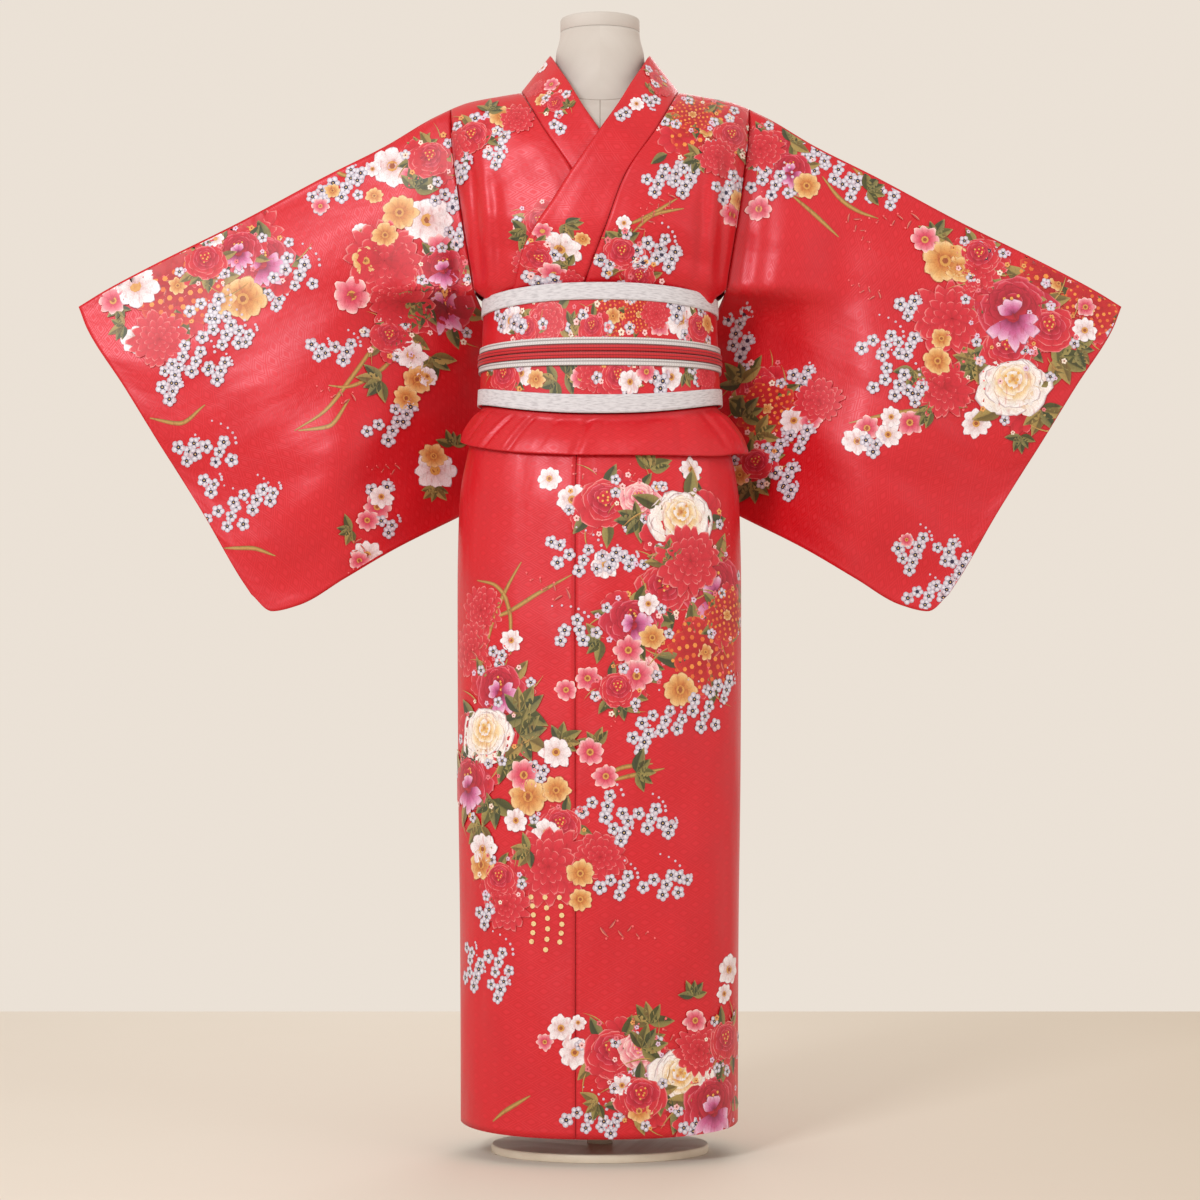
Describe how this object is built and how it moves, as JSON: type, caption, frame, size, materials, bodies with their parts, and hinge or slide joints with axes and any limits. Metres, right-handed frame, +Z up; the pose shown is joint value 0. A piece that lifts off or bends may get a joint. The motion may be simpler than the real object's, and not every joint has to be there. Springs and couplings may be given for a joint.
{
  "type": "kimono on dress form",
  "caption": "Woman's kimono with wide sash and cord, worn open and hollow over a limbless dress form that stands on a pole and a flat base",
  "frame": {"origin": "on the floor, at the middle of the base plate's underside, under the middle of the dress form", "axes": "+Z up, the wearer faces -Y, +X is the wearer's left"},
  "size_m": [1.308, 0.2874, 1.418],
  "materials": {
    "kimono_satin": "red satin with a woven lattice and a printed floral pattern",
    "sash_cloth": "red floral sash cloth",
    "white_trim": "white crepe trim",
    "red_braid": "red braided cord",
    "form_cover": "matt off-white form cover",
    "stand_paint": "satin cream paint"
  },
  "bodies": {
    "root": {"body_left": "kimono_satin", "body_right": "kimono_satin", "collar_left": "kimono_satin", "collar_right": "kimono_satin", "sleeve_left_front": "kimono_satin", "sleeve_left_back": "kimono_satin", "sleeve_right_front": "kimono_satin", "sleeve_right_back": "kimono_satin", "skirt_back_left": "kimono_satin", "skirt_back_right": "kimono_satin", "skirt_front_left": "kimono_satin", "skirt_front_right": "kimono_satin", "overlap_left": "kimono_satin", "overlap_right": "kimono_satin", "tuck_front": "kimono_satin", "tuck_back": "kimono_satin", "sash": "sash_cloth", "sash_edge_upper": "white_trim", "sash_edge_lower": "white_trim", "cord_edge_upper": "white_trim", "cord_edge_lower": "white_trim", "cord_rib_upper": "red_braid", "cord_rib_lower": "red_braid", "form_torso": "form_cover", "form_neck_cap": "form_cover", "stand_pole": "stand_paint", "stand_base": "stand_paint"}
  },
  "joints": []
}
